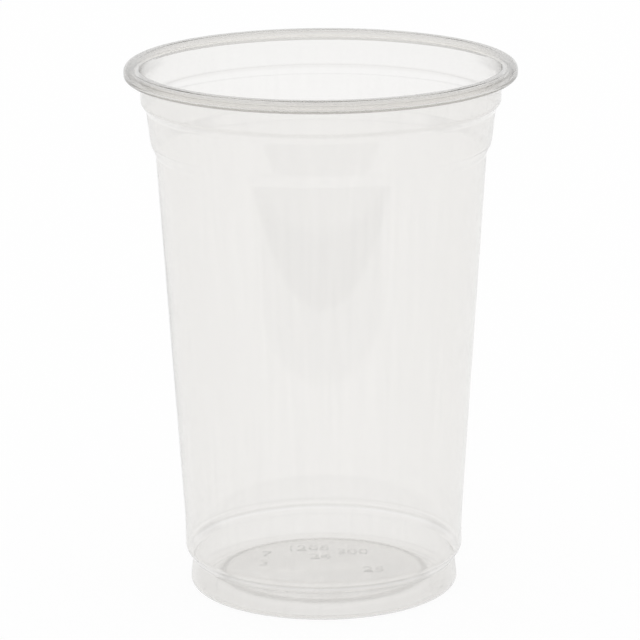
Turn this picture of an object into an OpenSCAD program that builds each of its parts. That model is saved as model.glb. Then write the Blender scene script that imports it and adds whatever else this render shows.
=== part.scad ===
// Clear plastic drinking cup, formed from one sheet, with a rolled lip.
// Millimetres. Z is up, the cup stands on z = 0 and its axis is the Z axis.

/* [Overall] */
// outside diameter over the rolled lip
rim_d = 95; // [84:0.5:110]
// height from the table to the top of the lip
cup_h = 130.5; // [110:0.5:160]

/* [Sheet] */
// thickness of the stretched body wall
wall_t = 0.35; // [0.25:0.05:0.7]
// thickness at the bottom of the neck, where the sheet starts to stretch
neck_t = 0.4; // [0.3:0.05:0.7]
// thickness of the unstretched sheet in the lip
lip_t = 0.5; // [0.4:0.05:0.8]
// thickness of the raised disc in the base
base_t = 0.5; // [0.35:0.05:1]

/* [Rolled lip] */
// width of the lip, from the mouth's edge to the outside
lip_w = 4.25; // [3.6:0.1:5.5]
// height of the lip, from the underside of the curl to the top
lip_h = 2.85; // [2.7:0.05:3.6]
// how far the top of the lip falls towards the outside
lip_drop = 0; // [0:0.05:0.5]
// outer radius of the crest beside the mouth
crest_r = 1.8; // [1.4:0.05:2]
// outer radius of the curl's upper bend
curl_r = 1.35; // [1.1:0.05:1.6]
// outer radius of the curl's lower bend, where the sheet turns back inwards
hem_r = 1.1; // [0.9:0.05:1.3]
// slot left between the neck and the upper corner of the cut edge
curl_slot = 1.1; // [0.9:0.1:1.3]
// how far the cut edge turns up inside the curl
curl_lift = 1.4; // [0.5:0.1:1.5]

/* [Neck and stacking band] */
// height from the top of the lip down to the first step
neck_h = 8.9; // [7:0.1:14]
// how much the neck's radius narrows on the way down
neck_in = 0.2; // [0:0.05:0.7]
// bend radius at the bottom of the neck
neck_bend = 1.5; // [0.7:0.1:2.2]
// how far the first step goes in
step_a_in = 1.25; // [0.6:0.05:2]
// height of the first step
step_a_h = 1.8; // [1.4:0.1:3.6]
// height of the band between the two steps
band_h = 8.2; // [5:0.1:12]
// how much the band's radius narrows on the way down
band_in = 1; // [0.4:0.05:1.4]
// how far the second step goes in
step_b_in = 1.2; // [0.6:0.05:2]
// height of the second step
step_b_h = 2.8; // [1.8:0.1:4]
// bend radius of the other corners at both steps
step_bend = 1.5; // [0.7:0.1:2.2]

/* [Lower band] */
// outside diameter of the upright band above the foot
lower_d = 68.5; // [60:0.5:72]
// height of the upright band's top above the table
lower_top = 16.5; // [14:0.5:24]
// height of the upright band's bottom above the table
lower_end = 9.6; // [8.5:0.1:12]
// bend radius where the upright band runs into the body
body_bend = 60; // [20:5:120]
// bend radius of the shoulder above the foot
under_bend = 2.5; // [1:0.5:5]

/* [Foot] */
// how far the wall steps in above the foot
foot_in = 1.8; // [1:0.1:3]
// height of the foot's narrowest place above the table
waist_h = 6.8; // [5.2:0.1:8]
// bend radius at the foot's narrowest place
waist_bend = 0.7; // [0.4:0.1:1.2]
// how far the foot widens again on the way down
foot_out = 0.75; // [0:0.05:1.2]
// bend radius between the foot and the standing ring
heel_bend = 1.6; // [1:0.1:2]

/* [Raised base] */
// width of the standing ring and its rounded edge
ring_w = 3.7; // [3:0.1:5]
// bend radius between the standing ring and the slope
ring_bend = 1.2; // [0.6:0.1:2]
// width of the slope between the standing ring and the disc
slope_w = 4; // [2:0.1:6]
// height of the disc's underside above the table
push_h = 2; // [1.2:0.1:4]
// bend radius at the disc's edge
disc_bend = 0.8; // [0.4:0.1:1.5]

/* [Hidden] */
arc_step = 9;

// Radii from the lip inwards and down to the disc, on the sheet's outer side.
rim_r = rim_d / 2;
curl_in_r = rim_r - lip_t;
neck_r = rim_r - lip_w + lip_t;
neck_low_r = neck_r - neck_in;
band_top_r = neck_low_r - step_a_in;
band_low_r = band_top_r - band_in;
body_top_r = band_low_r - step_b_in;
lower_r = lower_d / 2;
waist_r = lower_r - foot_in;
foot_r = waist_r + foot_out;
ring_in_r = foot_r - ring_w;
disc_r = ring_in_r - slope_w;

// Heights of the same corners.
neck_z = cup_h - neck_h;
band_top_z = neck_z - step_a_h;
band_low_z = band_top_z - band_h;
body_top_z = band_low_z - step_b_h;

// The lip's top and underside are slanted runs between round bends. These two
// heights put the highest and lowest points of those bends at the stated sizes.
top_fall = lip_drop / (curl_in_r - neck_r);
top_z = cup_h - crest_r + (crest_r - lip_t) * (norm([1, top_fall]) + top_fall);
tip_r = neck_r + curl_slot;
tip_rise = curl_lift / (curl_in_r - tip_r);
curl_z = cup_h - lip_h + hem_r - (hem_r - lip_t) * (norm([1, tip_rise]) + tip_rise);

// The sheet's outer side, from the axis under the base up to the cut edge of the
// curl. Each corner is its radius, its height, the radius of the bend there and
// the thickness of the sheet there. Between two corners the sheet tapers.
outer_side = [
    [0, push_h, 0, base_t],
    [disc_r, push_h, disc_bend, base_t],
    [ring_in_r, 0, ring_bend, wall_t],
    [foot_r, 0, heel_bend, wall_t],
    [waist_r, waist_h, waist_bend, wall_t],
    [lower_r, lower_end, under_bend, wall_t],
    [lower_r, lower_top, body_bend, wall_t],
    [body_top_r, body_top_z, step_bend, wall_t],
    [band_low_r, band_low_z, step_bend, wall_t],
    [band_top_r, band_top_z, step_bend, wall_t],
    [neck_low_r, neck_z, neck_bend, neck_t],
    [neck_r, top_z, crest_r - lip_t, lip_t],
    [curl_in_r, top_z - lip_drop, curl_r - lip_t, lip_t],
    [curl_in_r, curl_z, hem_r - lip_t, lip_t],
    [tip_r, curl_z + curl_lift, 0, lip_t]
];

function flat(p) = [p[0], p[1]];
function unit(v) = v / norm(v);
function left(v) = [-v[1], v[0]];
function turn(a, b) = a[0] * b[1] - a[1] * b[0];
function run(path, i) = unit(flat(path[i + 1]) - flat(path[i]));
function reversed(list) = [for (i = [len(list) - 1 : -1 : 0]) list[i]];

// The same corners on the other side of the sheet. A corner moves left of both
// runs by the thickness there, and its bend gets tighter or wider by as much.
function other_side(path) =
    let (last = len(path) - 1)
    [
        for (i = [0 : last])
            let (a = run(path, max(i - 1, 0)), b = run(path, min(i, last - 1)), t = path[i][3])
            let (p = flat(path[i]) + (left(a) + left(b)) * t / (1 + a * b))
            [p[0], p[1], max(0.1, path[i][2] - sign(turn(a, b)) * t)]
    ];

// The points of one bend: an arc that touches both runs at a tangent and takes
// less than half of either.
function bend(path, i) =
    let (b = flat(path[i]), va = flat(path[i - 1]) - b, vc = flat(path[i + 1]) - b)
    let (u = unit(va), v = unit(vc), half = acos(u * v) / 2)
    let (reach = min(path[i][2] / tan(half), 0.49 * norm(va), 0.49 * norm(vc)))
    let (r = reach * tan(half), c = b + unit(u + v) * r / sin(half))
    let (p = b + u * reach - c, q = b + v * reach - c)
    let (a0 = atan2(p[1], p[0]), a1 = atan2(q[1], q[0]), d = a1 - a0)
    let (sweep = d > 180 ? d - 360 : d < -180 ? d + 360 : d)
    let (n = max(1, ceil(abs(sweep) / arc_step)))
    [for (k = [0 : n]) c + r * [cos(a0 + sweep * k / n), sin(a0 + sweep * k / n)]];

// One side of the sheet with every bend rounded.
function side(path) =
    let (last = len(path) - 1)
    concat(
        [flat(path[0])],
        [for (i = [1 : last - 1]) for (p = bend(path, i)) p],
        [flat(path[last])]
    );

// The sheet's section, a closed band from the disc's centre to the curl.
module sheet_section() {
    polygon(concat(side(outer_side), reversed(side(other_side(outer_side)))));
}

module cup() {
    color([0.9, 0.91, 0.92, 0.35])
        rotate_extrude($fn = 180)
            sheet_section();
}

cup();
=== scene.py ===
# A clear plastic drinking cup, in metres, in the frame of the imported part.
import math
import bpy
from mathutils import Matrix, Vector


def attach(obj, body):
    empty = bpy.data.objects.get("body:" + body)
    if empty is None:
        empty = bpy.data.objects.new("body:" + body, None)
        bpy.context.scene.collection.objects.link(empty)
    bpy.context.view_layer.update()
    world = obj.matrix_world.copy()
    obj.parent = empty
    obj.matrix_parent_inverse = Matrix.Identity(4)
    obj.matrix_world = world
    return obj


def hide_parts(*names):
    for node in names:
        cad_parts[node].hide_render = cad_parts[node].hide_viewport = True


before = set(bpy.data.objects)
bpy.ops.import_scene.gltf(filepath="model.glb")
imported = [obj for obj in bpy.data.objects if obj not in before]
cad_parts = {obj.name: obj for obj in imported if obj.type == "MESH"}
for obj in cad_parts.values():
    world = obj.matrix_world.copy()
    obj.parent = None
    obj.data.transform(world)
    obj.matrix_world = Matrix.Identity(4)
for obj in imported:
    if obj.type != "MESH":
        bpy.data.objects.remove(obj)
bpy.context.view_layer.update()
bpy.ops.object.select_all(action="DESELECT")

# The camera. A long lens on a tripod, 0.92 m in front of the cup and a little above
# it, tipped down and leaning by a third of a degree, as it stood for the photograph.
tripod_at = (-0.00056, -0.9213, 0.3084)
tipped = math.radians(90 - 14.712)
leaning = math.radians(-0.377)
bpy.ops.object.camera_add(location=tripod_at)
camera = bpy.context.object
camera.name = "tripod_camera"
camera.matrix_world = (
    Matrix.Translation(tripod_at)
    @ Matrix.Rotation(tipped, 4, "X")
    @ Matrix.Rotation(leaning, 4, "Z")
)
camera.data.lens = 218.73
camera.data.sensor_width = 36
camera.data.clip_start = 0.05
camera.data.clip_end = 60
bpy.context.scene.camera = camera

# The room. A white sweep behind and around the table, under plain soft light. In what
# the cup reflects and bends, a low band of it is dim in front and at the sides, and
# the band fades out towards the back.
band_bottom = (0.1, 0.25)
band_top = (0.45, 0.35)
band_back = (0.95, 0.3)
band_level = 0.1


def faded(tree, source, start, end, first=0, last=1, kind="LINEAR"):
    # A value that goes from first to last as the source goes from start to end.
    node = tree.nodes.new("ShaderNodeMapRange")
    node.interpolation_type = kind
    node.inputs["From Min"].default_value = start
    node.inputs["From Max"].default_value = end
    node.inputs["To Min"].default_value = first
    node.inputs["To Max"].default_value = last
    tree.links.new(source, node.inputs["Value"])
    return node.outputs["Result"]


def worked_out(tree, operation, *values):
    # One step of arithmetic. Each value is a number or what another node gives.
    node = tree.nodes.new("ShaderNodeMath")
    node.operation = operation
    for socket, value in zip(node.inputs, values):
        if isinstance(value, bpy.types.NodeSocket):
            tree.links.new(value, socket)
        else:
            socket.default_value = value
    return node.outputs[0]


studio = bpy.data.worlds.new("white_tent")
bpy.context.scene.world = studio
studio.use_nodes = True
tent = studio.node_tree
tent_light = tent.nodes["Background"]
tent_light.inputs["Color"].default_value = (1, 1, 1, 1)
tent_way = tent.nodes.new("ShaderNodeTexCoord")
tent_axes = tent.nodes.new("ShaderNodeSeparateXYZ")
tent.links.new(tent_way.outputs["Generated"], tent_axes.inputs[0])
above_bottom = faded(tent, tent_axes.outputs["Z"], *band_bottom, kind="SMOOTHSTEP")
below_top = faded(tent, tent_axes.outputs["Z"], *band_top, kind="SMOOTHSTEP")
off_back = faded(tent, tent_axes.outputs["Y"], *band_back, kind="SMOOTHSTEP")
in_band = worked_out(tent, "MULTIPLY", above_bottom, below_top)
in_band = worked_out(tent, "MULTIPLY", in_band, off_back)
tent_tone = faded(tent, in_band, 0, 1, 1, band_level)

# The camera and everything matt see the room plain white.
tent_ray = tent.nodes.new("ShaderNodeLightPath")
tent_plain = worked_out(
    tent, "MAXIMUM", tent_ray.outputs["Is Camera Ray"], tent_ray.outputs["Diffuse Depth"]
)
tent_plain.node.use_clamp = True
tent_level = worked_out(tent, "MAXIMUM", tent_plain, tent_tone)
tent.links.new(tent_level, tent_light.inputs["Strength"])

# The table top. White board, matt, far larger than the picture. It keeps a faint share
# of the cup's shadow, and it is left out where it is seen from below. It lies a
# hundredth of a millimetre under the cup, so that no two faces coincide.
board_size = 16
board_drop = 0.00001
board_plain = 0.95


def shared(tree, share, first, second):
    # The first shader, and a share of the second in its place.
    node = tree.nodes.new("ShaderNodeMixShader")
    for socket, value in zip(node.inputs, (share, first, second)):
        tree.links.new(value, socket)
    return node.outputs[0]


bpy.ops.mesh.primitive_plane_add(size=board_size, location=(0, 0, -board_drop))
table = bpy.context.object
table.name = "white_table"
board_paint = bpy.data.materials.new("white_board")
board_paint.use_nodes = True
board = board_paint.node_tree
board_skin = board.nodes["Principled BSDF"]
board_skin.inputs["Base Color"].default_value = (0.9, 0.9, 0.9, 1)
board_skin.inputs["Roughness"].default_value = 1
board_skin.inputs["Specular IOR Level"].default_value = 0
board_glow = board.nodes.new("ShaderNodeEmission")
board_glow.inputs["Color"].default_value = (1, 1, 1, 1)
board_ray = board.nodes.new("ShaderNodeLightPath")
board_seen = worked_out(board, "SUBTRACT", 1, board_ray.outputs["Is Diffuse Ray"])
board_share = worked_out(board, "MULTIPLY", board_seen, board_plain)
board_top = shared(board, board_share, board_skin.outputs[0], board_glow.outputs[0])
board_side = board.nodes.new("ShaderNodeNewGeometry")
board_air = board.nodes.new("ShaderNodeBsdfTransparent")
board_faces = shared(board, board_side.outputs["Backfacing"], board_top, board_air.outputs[0])
board.links.new(board_faces, board.nodes["Material Output"].inputs["Surface"])
table.data.materials.append(board_paint)

# The gap at the front of the tent, where the table ends and the dim room behind the
# camera begins. It is seen only as a reflection, as it is in the photograph.
gap_at = (0, -0.235, 0.025)
gap_wide, gap_tall = 0.54, 0.05
gap_level = 0.6
bpy.ops.mesh.primitive_plane_add(size=1, location=gap_at, rotation=(math.pi / 2, 0, 0))
gap = bpy.context.object
gap.name = "tent_gap"
gap.scale = (gap_wide, gap_tall, 1)
bpy.ops.object.transform_apply(location=True, rotation=True, scale=True)
gap.visible_camera = False
gap.visible_diffuse = False
gap.visible_shadow = False
dim_room = bpy.data.materials.new("dim_room")
dim_room.use_nodes = True
dim = dim_room.node_tree
dim.nodes.clear()
dim_out = dim.nodes.new("ShaderNodeOutputMaterial")
dim_air = dim.nodes.new("ShaderNodeBsdfTransparent")
dim_tone = dim.nodes.new("ShaderNodeEmission")
dim_tone.inputs["Color"].default_value = (1, 1, 1, 1)
dim_tone.inputs["Strength"].default_value = gap_level
dim_ray = dim.nodes.new("ShaderNodeLightPath")
dim_mirrored = worked_out(dim, "GREATER_THAN", dim_ray.outputs["Glossy Depth"], 0.5)
dim_seen = shared(dim, dim_mirrored, dim_air.outputs[0], dim_tone.outputs[0])
dim.links.new(dim_seen, dim_out.inputs["Surface"])
gap.data.materials.append(dim_room)

# The cup. One sheet of clear plastic, heated, pushed into a mould by a plug and
# drawn against it by air, then cut out. The lip is rolled last, between screws.
mm = 0.001
cup_tall = 130.5
sheet_ior = 1.49
round_steps = 180
weld = 2e-6

# Each corner of the mould is its radius and height, the radius of its bend and the
# thickness of the sheet there, in millimetres, from under the disc to the curl. The
# disc's edge is drawn rounder than in the part's source, 0.2 mm off at most.
mould_corners = [
    (0, 2, 0, 0.5), (25.5, 2, 8, 0.5), (29.5, 0, 1.2, 0.35),
    (33.2, 0, 1.6, 0.35), (32.45, 6.8, 0.7, 0.35), (34.25, 9.6, 2.5, 0.35),
    (34.25, 16.5, 60, 0.35), (40.1, 108.8, 1.5, 0.35), (41.3, 111.6, 1.5, 0.35),
    (42.3, 119.8, 1.5, 0.35), (43.55, 121.6, 1.5, 0.4), (43.75, 130, 1.3, 0.5),
    (47, 130, 0.85, 0.5), (47, 127.643, 0.6, 0.5), (44.85, 129.043, 0, 0.5),
]


def run_between(corners, i):
    return (Vector(corners[i + 1][:2]) - Vector(corners[i][:2])).normalized()


def sheet_other_side(corners):
    # Each corner moves left of both runs by the sheet's thickness there.
    moved, last, straight, sharpest = [], len(corners) - 1, 1e-9, 0.1
    for i, (r, z, bend, thick) in enumerate(corners):
        a = run_between(corners, max(i - 1, 0))
        b = run_between(corners, min(i, last - 1))
        step = (Vector((-a.y, a.x)) + Vector((-b.y, b.x))) * thick / (1 + a.dot(b))
        turn = a.x * b.y - a.y * b.x
        side = (turn > straight) - (turn < -straight)
        moved.append((r + step.x, z + step.y, max(sharpest, bend - side * thick), thick))
    return moved


def close_to_ends(a, b, apart=0.4):
    # Two points just inside a straight run keep the shading of its length straight.
    along = b - a
    if along.length < 4 * apart:
        return []
    return [a + along.normalized() * apart, b - along.normalized() * apart]


def bent(corners, arc_step=5, most_of_run=0.49):
    # The side with its bends rounded by arcs that touch both runs.
    points = [Vector(corners[0][:2])]
    for i in range(1, len(corners) - 1):
        corner = Vector(corners[i][:2])
        back, on = Vector(corners[i - 1][:2]) - corner, Vector(corners[i + 1][:2]) - corner
        u, v = back.normalized(), on.normalized()
        half = math.acos(max(-1, min(1, u.dot(v)))) / 2
        reach = min(
            corners[i][2] / math.tan(half), most_of_run * back.length, most_of_run * on.length
        )
        radius = reach * math.tan(half)
        centre = corner + (u + v).normalized() * radius / math.sin(half)
        start, end = corner + u * reach - centre, corner + v * reach - centre
        a0 = math.atan2(start.y, start.x)
        sweep = (math.atan2(end.y, end.x) - a0 + math.pi) % (2 * math.pi) - math.pi
        count = max(2, math.ceil(abs(math.degrees(sweep)) / arc_step))
        arc = []
        for k in range(count + 1):
            a = a0 + sweep * k / count
            arc.append(centre + radius * Vector((math.cos(a), math.sin(a))))
        points += close_to_ends(points[-1], arc[0]) + arc
    last = Vector(corners[-1][:2])
    return points + close_to_ends(points[-1], last) + [last]


under = bent(mould_corners)
inside = bent(sheet_other_side(mould_corners))
section = [p * mm for p in under + inside[::-1]]

# The section is drawn point by point and spun once about the cup's axis.
bpy.ops.mesh.primitive_plane_add(size=mm, location=(section[0].x, 0, section[0].y))
cup = bpy.context.object
cup.name = "formed_cup"
bpy.ops.object.transform_apply(location=True, rotation=True, scale=True)
bpy.ops.object.mode_set(mode="EDIT")
bpy.ops.mesh.select_mode(type="VERT")
bpy.ops.mesh.select_all(action="SELECT")
bpy.ops.mesh.merge(type="CENTER")
for a, b in zip(section, section[1:]):
    bpy.ops.mesh.extrude_vertices_move(
        TRANSFORM_OT_translate={"value": (b.x - a.x, 0, b.y - a.y)}
    )
bpy.ops.mesh.select_all(action="SELECT")
bpy.ops.mesh.spin(
    steps=round_steps, angle=2 * math.pi, center=(0, 0, 0), axis=(0, 0, 1)
)
bpy.ops.mesh.select_all(action="SELECT")
bpy.ops.mesh.remove_doubles(threshold=weld)
bpy.ops.mesh.normals_make_consistent(inside=False)
bpy.ops.object.mode_set(mode="OBJECT")
bpy.ops.object.shade_smooth_by_angle(angle=math.radians(35))

# The plastic itself. Clear, a little warm, and greyer the more of it light passes.
clear = bpy.data.materials.new("clear_sheet")
clear.use_nodes = True
plastic = clear.node_tree
sheet = plastic.nodes["Principled BSDF"]
sheet.inputs["IOR"].default_value = sheet_ior
sheet.inputs["Transmission Weight"].default_value = 1
soak = plastic.nodes.new("ShaderNodeVolumeAbsorption")
soak.inputs["Color"].default_value = (0.7, 0.69, 0.67, 1)
soak.inputs["Density"].default_value = 480
plastic.links.new(soak.outputs[0], plastic.nodes["Material Output"].inputs["Volume"])

# Its tone by height, in millimetres. The stretched wall is the clearest. The lip, where the
# sheet kept its thickness, the standing ring and the foot are painted greyer, as painted
# shade. Rings of painted shade lie at the bends of the shoulder above the foot and of the
# bottom of the neck, with a ring of painted highlight just below the shoulder's one.
painted_highlight_tone = (1, 1, 1, 1)
wall_tone = (0.99, 0.985, 0.977, 1)
foot_painted_shade = (0.97, 0.965, 0.957, 1)
under_lip_tone = (1, 0.995, 0.987, 1)
lip_and_ring_painted_shade = (0.93, 0.923, 0.912, 1)
bend_painted_shade = (0.91, 0.902, 0.89, 1)
deep_bend_painted_shade = (0.86, 0.852, 0.84, 1)
# Heights and tones: painted shade at the ring, foot, bends and lip, and a painted highlight
# below the shoulder's dark ring.
tone_heights = (
    (1, lip_and_ring_painted_shade), (1.6, foot_painted_shade), (8, foot_painted_shade), (8.15, painted_highlight_tone),
    (8.45, painted_highlight_tone), (8.65, deep_bend_painted_shade), (8.9, deep_bend_painted_shade),
    (9.15, wall_tone), (9.9, wall_tone), (10.1, bend_painted_shade), (10.3, wall_tone),
    (121.1, wall_tone), (121.5, bend_painted_shade), (121.7, bend_painted_shade), (122.1, wall_tone),
    (127.4, wall_tone), (127.8, under_lip_tone), (128.8, under_lip_tone),
    (129.3, lip_and_ring_painted_shade),
)
sheet_at = plastic.nodes.new("ShaderNodeTexCoord")
sheet_axes = plastic.nodes.new("ShaderNodeSeparateXYZ")
plastic.links.new(sheet_at.outputs["Object"], sheet_axes.inputs[0])
sheet_tone_and_painted_light = plastic.nodes.new("ShaderNodeValToRGB")
plastic.links.new(
    faded(plastic, sheet_axes.outputs["Z"], 0, cup_tall * mm), sheet_tone_and_painted_light.inputs["Fac"]
)
tones = sheet_tone_and_painted_light.color_ramp.elements
tones[0].position, tones[0].color = 0, lip_and_ring_painted_shade
tones[1].position, tones[1].color = 1, lip_and_ring_painted_shade
for height, tone in tone_heights:
    tones.new(height / cup_tall).color = tone

# The disc kept its thickness too, and its mould face is matt, so it is greyer and
# hazier than the rest, and this fades out over its rounded edge.
disc_tone = (0.99, 0.982, 0.97, 1)
disc_edge = (0.0268, 0.025)
mix_colours, mix_out = (6, 7), 2
sheet_flat = plastic.nodes.new("ShaderNodeVectorMath")
sheet_flat.operation = "MULTIPLY"
sheet_flat.inputs[1].default_value = (1, 1, 0)
plastic.links.new(sheet_at.outputs["Object"], sheet_flat.inputs[0])
sheet_reach = plastic.nodes.new("ShaderNodeVectorMath")
sheet_reach.operation = "LENGTH"
plastic.links.new(sheet_flat.outputs[0], sheet_reach.inputs[0])
in_disc = faded(plastic, sheet_reach.outputs["Value"], *disc_edge)
disc_toned = plastic.nodes.new("ShaderNodeMix")
disc_toned.data_type = "RGBA"
plastic.links.new(in_disc, disc_toned.inputs[0])
plastic.links.new(sheet_tone_and_painted_light.outputs["Color"], disc_toned.inputs[mix_colours[0]])
disc_toned.inputs[mix_colours[1]].default_value = disc_tone

# Drawing the sheet down left fine upright streaks in it, up to the lip.
streak_top = (0.127, 0.126)
mix_values = (2, 3)
streak_at = plastic.nodes.new("ShaderNodeMapping")
streak_at.inputs["Scale"].default_value = (1, 1, 0.02)
plastic.links.new(sheet_at.outputs["Object"], streak_at.inputs["Vector"])
streaks = plastic.nodes.new("ShaderNodeTexNoise")
streaks.inputs["Scale"].default_value = 700
streaks.inputs["Detail"].default_value = 3
plastic.links.new(streak_at.outputs["Vector"], streaks.inputs["Vector"])
under_lip = faded(plastic, sheet_axes.outputs["Z"], *streak_top)
drawn = plastic.nodes.new("ShaderNodeMix")
plastic.links.new(under_lip, drawn.inputs[0])
drawn.inputs[mix_values[0]].default_value = 0.5
plastic.links.new(streaks.outputs[0], drawn.inputs[mix_values[1]])
streak_level = faded(plastic, drawn.outputs[0], 0.3, 0.7, 0.985, 1)

# The lip is thick and turns back on itself. Where it is seen at a slant its colour is
# darkened, as painted shade.
grazing = plastic.nodes.new("ShaderNodeLayerWeight")
grazing.inputs["Blend"].default_value = 0.5
lip_slant_painted_shade = plastic.nodes.new("ShaderNodeMix")
plastic.links.new(under_lip, lip_slant_painted_shade.inputs[0])
plastic.links.new(
    faded(plastic, grazing.outputs["Facing"], 0.5, 1, 1, 0.3), lip_slant_painted_shade.inputs[mix_values[0]]
)
lip_slant_painted_shade.inputs[mix_values[1]].default_value = 1
# The base colour: the tones by height with their painted shade and highlight, the streaks,
# and the lip's painted slant shade.
tone_scale = worked_out(plastic, "MULTIPLY", streak_level, lip_slant_painted_shade.outputs[0])
streaks_and_painted_shade = plastic.nodes.new("ShaderNodeVectorMath")
streaks_and_painted_shade.operation = "SCALE"
plastic.links.new(disc_toned.outputs[mix_out], streaks_and_painted_shade.inputs[0])
plastic.links.new(tone_scale, streaks_and_painted_shade.inputs["Scale"])
plastic.links.new(streaks_and_painted_shade.outputs[0], sheet.inputs["Base Color"])

# A soft, cloudy haze, and a slight waviness that bends what is seen through it.
haze = plastic.nodes.new("ShaderNodeTexNoise")
haze.inputs["Scale"].default_value = 90
haze.inputs["Detail"].default_value = 4
plastic.links.new(sheet_at.outputs["Object"], haze.inputs["Vector"])
sheet_haze = faded(plastic, haze.outputs[0], 0.3, 0.7, 0.02, 0.06)
disc_haze = faded(plastic, sheet_reach.outputs["Value"], 0.0238, 0.0252, 0.1, 0.22)
haze_all = worked_out(plastic, "MULTIPLY_ADD", in_disc, disc_haze, sheet_haze)
plastic.links.new(haze_all, sheet.inputs["Roughness"])
waves = plastic.nodes.new("ShaderNodeBump")
waves.inputs["Strength"].default_value = 0.1
waves.inputs["Distance"].default_value = 0.00004
plastic.links.new(drawn.outputs[0], waves.inputs["Height"])
plastic.links.new(waves.outputs[0], sheet.inputs["Normal"])
cup.data.materials.append(clear)

# The cut edge, hidden in the curl, is sheared and milky.
# It has a faint painted glow, which stands in for the light that the sheet pipes to it.
edge_reach, edge_height, edge_half = 0.04471, 0.12883, 0.0001
frosted_and_painted_glow = bpy.data.materials.new("sheared_edge_painted_glow")
frosted_and_painted_glow.use_nodes = True
edge_skin = frosted_and_painted_glow.node_tree.nodes["Principled BSDF"]
edge_skin.inputs["Base Color"].default_value = (0.6, 0.595, 0.58, 1)
edge_skin.inputs["Roughness"].default_value = 1
# The painted glow of the cut edge; it is no lamp.
edge_skin.inputs["Emission Color"].default_value = (1, 0.99, 0.97, 1)
edge_skin.inputs["Emission Strength"].default_value = 0.6
frosted_and_painted_glow.cycles.emission_sampling = "NONE"
cup.data.materials.append(frosted_and_painted_glow)
for face in cup.data.polygons:
    off_reach = abs(math.hypot(face.center.x, face.center.y) - edge_reach)
    off_height = abs(face.center.z - edge_height)
    if off_reach < edge_half and off_height < edge_half:
        face.material_index = 1
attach(cup, "root")
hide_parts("cup")

# The marks. Plain numbers of the mould, raised a little from the disc and left less
# glossy than it, because the mould is engraved there.
mark_rise = 0.00004
mark_height = 0.002545
mark_places = (
    ("12", 0.0055, -0.0069, 0.0165), ("06", 0.0055, -0.0012, 0.0168),
    ("24", 0.0055, -0.0008, 0.0098), ("300", 0.0055, 0.0072, 0.0135),
    ("7", 0.005, -0.0143, 0.0122), ("3", 0.0055, -0.015, 0.0045),
    ("25", 0.0055, 0.0124, -0.0008),
)
marks = []
for word, tall, x, y in mark_places:
    bpy.ops.object.text_add(location=(0, 0, 0))
    mark = bpy.context.object
    mark.data.body = word
    mark.data.size = tall
    mark.data.align_x = mark.data.align_y = "CENTER"
    mark.data.extrude = mark_rise
    mark.data.resolution_u = 4
    bpy.ops.object.convert(target="MESH")
    mark = bpy.context.object
    mark.location = (x, y, mark_height)
    bpy.ops.object.transform_apply(location=True, rotation=True, scale=True)
    marks.append(mark)
bpy.ops.object.select_all(action="DESELECT")
for mark in marks:
    mark.select_set(True)
bpy.context.view_layer.objects.active = marks[0]
bpy.ops.object.join()
marks = bpy.context.object
marks.name = "mould_numbers"
bpy.ops.object.mode_set(mode="EDIT")
bpy.ops.mesh.select_all(action="SELECT")
bpy.ops.mesh.remove_doubles(threshold=weld)
bpy.ops.mesh.normals_make_consistent(inside=False)
bpy.ops.object.mode_set(mode="OBJECT")
engraved = bpy.data.materials.new("matt_marks")
engraved.use_nodes = True
engraved_skin = engraved.node_tree.nodes["Principled BSDF"]
engraved_skin.inputs["Base Color"].default_value = (0.98, 0.975, 0.967, 1)
engraved_skin.inputs["Roughness"].default_value = 0.15
engraved_skin.inputs["IOR"].default_value = sheet_ior
engraved_skin.inputs["Transmission Weight"].default_value = 1
marks.data.materials.append(engraved)
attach(marks, "root")

# How the picture is taken. Plain colours, and enough bounces for light to leave the
# rolled lip, where it passes many walls.
scene = bpy.context.scene
scene.view_settings.view_transform = "Standard"
scene.cycles.max_bounces = 48
scene.cycles.glossy_bounces = 48
scene.cycles.transmission_bounces = 48
scene.cycles.transparent_max_bounces = 32
